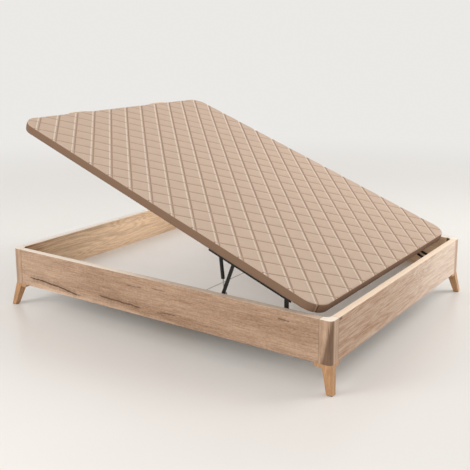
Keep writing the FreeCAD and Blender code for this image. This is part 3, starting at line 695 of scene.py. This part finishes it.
def foot_figure(tree, parts):
    """Hills in the growth field of the foot panel."""
    return weighted(tree, (round_hill(tree, parts, 0.12, 0.30, 0.16, 0.05), 0.20),
                    (round_hill(tree, parts, -0.42, 0.22, 0.30, 0.08), 0.16))


def head_knot(tree, parts, fibre):
    """A small dark knot at the top of the head panel, beside the near post."""
    return round_hill(tree, parts, -0.744, 0.325, 0.015, 0.007)


# Cloth, metal and board

taupe_tones = ((0.588, 0.455, 0.361), (0.440, 0.330, 0.256))
side_tones = ((0.250, 0.160, 0.108), (0.180, 0.110, 0.072))
lining_tones = ((0.84, 0.80, 0.75), (0.74, 0.70, 0.65))
tape_tones = ((0.95, 0.81, 0.65), (0.84, 0.68, 0.51))
board_tones = ((0.90, 0.89, 0.885), (0.83, 0.82, 0.815))
# Where the painted shade and the painted highlight lie beside each main sewn line.
shade_offset = -0.0080
highlight_offset = 0.0110
# A wave texture of scale 1 repeats after this distance.
wave_period = 0.314


def painted_light_tones(tones):
    """The tones of the painted highlight and the painted shade of sewn marks on a cloth of these tones."""
    pale, dark = tones
    highlight = (1.19 * pale[0], 1.34 * pale[1], 1.46 * pale[2])
    deep = (0.62 * dark[0], 0.50 * dark[1], 0.42 * dark[2])
    return highlight, deep


def sewn_lines(tree, place, across, offset):
    """Distance from the sewn lines of one slant, on UV that holds distances from the head and near edges.
    The offset moves the lines away from the head."""
    parts = add(tree, "ShaderNodeSeparateXYZ", {0: place}).outputs
    along = math_node(tree, "SUBTRACT", parts[0], quilt_from_head + offset)
    run = math_node(tree, across, along, math_node(tree, "SUBTRACT", parts[1], quilt_from_near))
    return math_node(tree, "MULTIPLY", math_node(tree, "PINGPONG", run, quilt_pitch / 2), math.sqrt(0.5))


def quilt_marks(tree, place, shader, weave, colour, tones):
    """Sewn lines on the quilted top: a crisp crease in the bump, dark lines of painted shade, beside each
    line of the main slant and along each cross line, and on the main slant a pale line of painted highlight
    on the other side.
    The main slant's painted shade is weaker where lines cross."""
    pale, dark = painted_light_tones(tones)
    main = sewn_lines(tree, place, "SUBTRACT", 0.0)
    cross = sewn_lines(tree, place, "ADD", 0.0)
    # A dark line of painted shade on the shaded side of each main line, and one along each cross line.
    thread = fall(tree, sewn_lines(tree, place, "SUBTRACT", shade_offset), 0.0006, 0.0052)
    clear = math_node(tree, "MULTIPLY", spread(tree, cross, 0.002, 0.012), 0.5)
    thread = math_node(tree, "MULTIPLY", thread, math_node(tree, "ADD", clear, 0.5))
    thread = math_node(tree, "MULTIPLY", thread, 0.74)
    cross_shade = math_node(tree, "MULTIPLY", fall(tree, cross, 0.0004, 0.0046), 0.90)
    # A pale line of painted highlight on the lit side of each main line.
    roll = fall(tree, sewn_lines(tree, place, "SUBTRACT", highlight_offset), 0.0008, 0.0048)
    colour = blend_colour(tree, math_node(tree, "MULTIPLY", roll, 0.95), colour, pale)
    colour = blend_colour(tree, math_node(tree, "MAXIMUM", thread, cross_shade), colour, dark)
    dip = math_node(tree, "MINIMUM", spread(tree, main, 0.0, 0.008), spread(tree, cross, -0.003, 0.006))
    bump(tree, shader, weighted(tree, (dip, 4.0), (weave, 1.0)), 0.6, 0.0006)
    return colour


def seam_highlight_and_shade(tree, place, colour, tones):
    """A sewn seam across the border, painted: a pale painted highlight on one side and a dark line of painted
    shade beside it.
    """
    pale, dark = painted_light_tones(tones)
    run = add(tree, "ShaderNodeSeparateXYZ", {0: place}).outputs[0]
    highlight_distance = math_node(tree, "ABSOLUTE", math_node(tree, "SUBTRACT", run, seam_run - 0.002))
    line = math_node(tree, "ABSOLUTE", math_node(tree, "SUBTRACT", run, seam_run + 0.005))
    colour = blend_colour(tree, fall(tree, highlight_distance, 0.002, 0.005), colour, pale)
    return blend_colour(tree, fall(tree, line, 0.001, 0.004), colour, dark)


def woven(name, tones, thread, sheen, quilted=False, seamed=False):
    """Woven cloth on UV in metres: crossed threads, slubs along both, and a cloudy nap."""
    pale, dark = tones
    material, tree, shader = new_material(name)
    place = add(tree, "ShaderNodeTexCoord").outputs["UV"]
    threads = {"Vector": place, "Scale": wave_period / thread, "Distortion": 1.5, "Detail": 1.0,
               "Detail Scale": 2.0}
    warp = add(tree, "ShaderNodeTexWave", threads, bands_direction="X").outputs["Fac"]
    weft = add(tree, "ShaderNodeTexWave", threads, bands_direction="Y").outputs["Fac"]
    weave = math_node(tree, "MULTIPLY", warp, weft)
    slub = drawn_out(tree, place, (40, 320, 1))
    slub_across = drawn_out(tree, place, (320, 40, 1))
    nap = noise(tree, place, 13, 6, 0.72)
    share = weighted(tree, (slub, 0.42), (slub_across, 0.42), (nap, 0.45), (weave, -0.22))
    share = math_node(tree, "SUBTRACT", share, 0.14, True)
    colour = blend_colour(tree, share, pale, dark)
    height = weighted(tree, (weave, 1.0), (slub, 0.6))
    # The quilted top and the seamed border get painted highlights and painted shade along their sewn lines.
    if quilted:
        colour = quilt_marks(tree, place, shader, height, colour, tones)
    else:
        bump(tree, shader, height, 0.35, 0.0006)
    if seamed:
        colour = seam_highlight_and_shade(tree, place, colour, tones)
    tree.links.new(colour, shader.inputs["Base Color"])
    shader.inputs["Roughness"].default_value = 0.92
    shader.inputs["Specular IOR Level"].default_value = 0.04
    shader.inputs["Sheen Weight"].default_value = sheen
    shader.inputs["Sheen Roughness"].default_value = 0.5
    return material


def coated(name, colour, metallic, roughness, grain, bump_strength, specular=0.5):
    """Metal or plastic with a fine mottled finish."""
    material, tree, shader = new_material(name)
    place = add(tree, "ShaderNodeTexCoord").outputs["Object"]
    fine = noise(tree, place, grain, 3, 0.6)
    broad = noise(tree, place, 18, 2, 0.5)
    pale = tuple(min(1, 1.25 * part + 0.004) for part in colour)
    tree.links.new(blend_colour(tree, broad, colour, pale), shader.inputs["Base Color"])
    rough = math_node(tree, "ADD", math_node(tree, "MULTIPLY", broad, 0.16), roughness - 0.08)
    tree.links.new(rough, shader.inputs["Roughness"])
    bump(tree, shader, fine, bump_strength, 0.0003)
    shader.inputs["Metallic"].default_value = metallic
    shader.inputs["Specular IOR Level"].default_value = specular
    return material


def faced_board(name, tones):
    """Pale faced board: a faint cloud, a fine speckle, and a darker line along the seam between boards."""
    pale, dark = tones
    seam_tone = tuple(0.25 * part for part in dark)
    material, tree, shader = new_material(name)
    place = add(tree, "ShaderNodeTexCoord").outputs["Object"]
    cloud = drawn_out(tree, place, (2.0, 7.0, 2.0))
    speck = spread(tree, noise(tree, place, 420, 2, 0.6), 0.45, 0.75)
    share = weighted(tree, (cloud, 0.7), (speck, 0.25))
    x = add(tree, "ShaderNodeSeparateXYZ", {0: place}).outputs[0]
    seam = math_node(tree, "ABSOLUTE", math_node(tree, "SUBTRACT", x, floor_seam))
    colour = blend_colour(tree, share, pale, dark)
    colour = blend_colour(tree, fall(tree, seam, 0.001, 0.005), colour, seam_tone)
    tree.links.new(colour, shader.inputs["Base Color"])
    bump(tree, shader, speck, 0.08, 0.0002)
    shader.inputs["Roughness"].default_value = 0.5
    return material


# Finishes

def paint(names, material):
    """Gives CAD nodes one material."""
    for name in names:
        slots = frame["nodes"][name].data.materials
        slots.clear()
        slots.append(material)


def both(*names):
    """The near and far names of pieces that come in pairs."""
    return [name + side for name in names for side in ("_near", "_far")]


def finish_box():
    """The oak of the panels, posts and legs, and the boards and timber of the box."""
    paint(["side_panel_near"],
          oak("oak_near_side", "X", oak_tones, rings=0.10, streaks=13.0, tone=near_tone, stain=near_cracks,
              joints=(0,), lid_shade=near_lid_shade, grainy=0.26, shift=1.3))
    paint(["side_panel_far"],
          oak("oak_far_side", "X", oak_tones, rings=0.12, streaks=13.0, joints=(0,), shift=3.9))
    paint(["head_panel"],
          oak("oak_head", "Y", head_tones, rings=0.30, streaks=15.0, figure=head_figure, tone=head_tone_and_glare,
              stain=head_knot, joints=(1,), edge=head_edge_and_highlight, shift=5.2))
    paint(["foot_panel"],
          oak("oak_foot", "Y", oak_tones, rings=0.42, streaks=22.0, figure=foot_figure, tone=foot_tone_and_shade,
              joints=(1,), shift=7.7))
    posts = ((["corner_post_head_far", "corner_post_foot_far"], "oak_post", None, 2.1),
             (["corner_post_head_near"], "oak_head_post", near_post_stain, 2.6),
             (["corner_post_foot_near"], "oak_foot_post", foot_post_dark_side, 2.9))
    for nodes, name, stain, shift in posts:
        paint(nodes, oak(name, "Z", oak_tones, rings=0.12, streaks=45.0, stain=stain, joints=(0, 1),
                         inner=hollow_shade_tones, shift=shift))
    legs = ["leg" + corner for corner in ("_head_far", "_head_near", "_foot_far", "_foot_near")]
    paint(legs, oak("honey_oak", "Z", honey_tones, rings=0.1, streaks=40.0, roughness=0.4))
    paint(["floor_board_head", "floor_board_foot"], faced_board("pale_faced_board", board_tones))
    paint(["lid_head_rail", "lid_foot_rail", "lid_cross_rails", "floor_batten"],
          oak("sawn_timber_across", "Y", pine_tones, roughness=0.65))
    paint(both("lid_side_rail") + ["lid_board", "corner_dowels"],
          oak("sawn_timber_along", "X", pine_tones, roughness=0.65))


def finish_gear():
    """The lift gear, the fixings and the feet."""
    black = coated("black_coated_steel", (0.009, 0.0085, 0.008), metallic=0.0, roughness=0.40, grain=900,
                   bump_strength=0.25, specular=0.25)
    paint(both("track_plate", "track_screws", "lever", "lift_arm", "upper_rail", "rail_screws", "hanger",
               "strut_cylinder", "rail_pins", "lever_pin", "elbow_pin"), black)
    paint(["leg_bolts"], coated("zinc_steel", (0.50, 0.50, 0.49), metallic=1.0, roughness=0.36, grain=700,
                                bump_strength=0.15))
    paint(both("strut_rod"), coated("polished_rod", (0.55, 0.55, 0.56), metallic=1.0, roughness=0.20,
                                    grain=500, bump_strength=0.05))
    paint(both("guide_shoe") + ["leg_glides", "middle_feet"],
          coated("black_plastic", (0.028, 0.028, 0.028), metallic=0.0, roughness=0.5, grain=600,
                 bump_strength=0.3))


def finish_cloth():
    """The soft pieces and their cloth."""
    top_weave = woven("taupe_weave", taupe_tones, thread=0.0024, sheen=0.02, quilted=True)
    quilted_top().data.materials.append(top_weave)
    side_weave = woven("taupe_side_weave", side_tones, thread=0.0024, sheen=0.03, seamed=True)
    border_band().data.materials.append(side_weave)
    lining_weave = woven("lining_weave", lining_tones, thread=0.0012, sheen=0.1)
    lining_cloth().data.materials.append(lining_weave)
    tape = woven("tan_tape_weave", tape_tones, thread=0.0016, sheen=0.15)
    pull_tape("pull_tape_near", -strap_spacing / 2, "pull_strap_near").data.materials.append(tape)
    pull_tape("pull_tape_far", strap_spacing / 2, "pull_strap_far").data.materials.append(tape)


# Studio

backdrop_colour = (0.835, 0.818, 0.792)


def floor_finish():
    """A plain pale floor with a faint gloss, which fades into the backdrop far from the bed."""
    material, tree, shader = new_material("pale_floor")
    shader.inputs["Base Color"].default_value = (0.78, 0.76, 0.735, 1)
    shader.inputs["Roughness"].default_value = 0.26
    shader.inputs["Specular IOR Level"].default_value = 0.45
    place = add(tree, "ShaderNodeTexCoord").outputs["Object"]
    far = add(tree, "ShaderNodeVectorMath", {0: place}, operation="LENGTH").outputs["Value"]
    backdrop = add(tree, "ShaderNodeEmission", {"Color": (*backdrop_colour, 1), "Strength": 1.0})
    mix = add(tree, "ShaderNodeMixShader",
              {0: spread(tree, far, 3.0, 7.5), 1: shader.outputs[0], 2: backdrop.outputs[0]})
    tree.links.new(mix.outputs[0], tree.nodes["Material Output"].inputs["Surface"])
    return material


def studio_floor():
    """The floor: a flat disc of rings about the bed."""
    radius = np.array([0.0, 3.0, 6.0, 12.0, 30.0])
    turn = np.linspace(0, 2 * math.pi, 64, endpoint=False)
    points = np.zeros((len(radius), len(turn), 3))
    points[..., 0] = radius[:, None] * np.cos(turn)
    points[..., 1] = radius[:, None] * np.sin(turn)
    faces = grid_faces(len(radius), len(turn), closed_columns=True)
    mesh = bpy.data.meshes.new("studio_floor")
    mesh.from_pydata(points.reshape(-1, 3).tolist(), [], faces.tolist())
    floor = bpy.data.objects.new("studio_floor", mesh)
    bpy.context.scene.collection.objects.link(floor)
    mesh.materials.append(floor_finish())


def studio_world():
    """Soft light from all round, and a pale backdrop where the camera or a reflection sees it."""
    world = bpy.data.worlds.new("studio")
    bpy.context.scene.world = world
    world.use_nodes = True
    tree = world.node_tree
    fill = tree.nodes["Background"]
    fill.inputs["Color"].default_value = (1.0, 0.985, 0.965, 1)
    fill.inputs["Strength"].default_value = 0.76
    seen = add(tree, "ShaderNodeBackground", {"Color": (*backdrop_colour, 1), "Strength": 1.0})
    path = add(tree, "ShaderNodeLightPath")
    direct = math_node(tree, "MAXIMUM", path.outputs["Is Camera Ray"], path.outputs["Is Glossy Ray"])
    direct = math_node(tree, "MAXIMUM", direct, path.outputs["Is Transmission Ray"])
    mix = add(tree, "ShaderNodeMixShader", {0: direct, 1: fill.outputs[0], 2: seen.outputs[0]})
    tree.links.new(mix.outputs[0], tree.nodes["World Output"].inputs["Surface"])


def soft_lamp(name, place, target, size, power, beam, shine):
    """A square soft light aimed at a place, with its beam's full angle in degrees, seen in gloss or not."""
    lamp = bpy.data.lights.new(name, "AREA")
    lamp.size = size
    lamp.energy = power
    lamp.color = (1.0, 0.975, 0.945)
    lamp.spread = math.radians(beam)
    holder = bpy.data.objects.new(name, lamp)
    holder.location = place
    aim = np.array(target) - np.array(place)
    flat = math.hypot(aim[0], aim[1])
    holder.rotation_euler = (math.atan2(flat, -aim[2]), 0, math.atan2(-aim[0], aim[1]))
    holder.visible_camera = False
    holder.visible_glossy = shine
    bpy.context.scene.collection.objects.link(holder)


def studio_lights():
    """A broad soft key from behind the head end, a broad fill from the near foot corner, a weak one from
    the near head corner, and a low narrow one from the far head corner that shines into the box."""
    soft_lamp("key", (3.2, 3.2, 4.6), (0.0, 0.0, 0.5), size=3.0, power=108, beam=180, shine=True)
    soft_lamp("foot_fill", (-3.0, -4.8, 3.4), (-0.4, 0.0, 0.2), size=2.6, power=122, beam=180, shine=False)
    soft_lamp("near_fill", (1.6, -4.4, 1.7), (0.3, -0.6, 0.3), size=1.6, power=24, beam=180, shine=False)
    soft_lamp("box_fill", (5.6, 5.2, 1.75), (-1.0, 0.6, 0.25), size=2.0, power=14, beam=40, shine=False)


def camera():
    """The photo's viewing angle."""
    lens = bpy.data.cameras.new("camera")
    lens.sensor_width = 36.0
    lens.lens = 58.763
    lens.shift_y = -0.1064
    holder = bpy.data.objects.new("camera", lens)
    holder.location = (2.4195, -3.6104, 1.5438)
    holder.rotation_euler = (math.radians(78.746), 0, math.radians(34.329))
    bpy.context.scene.collection.objects.link(holder)
    bpy.context.scene.camera = holder


camera()
studio_world()
studio_lights()
studio_floor()
finish_box()
finish_gear()
finish_cloth()
bpy.context.scene.view_settings.view_transform = "Standard"
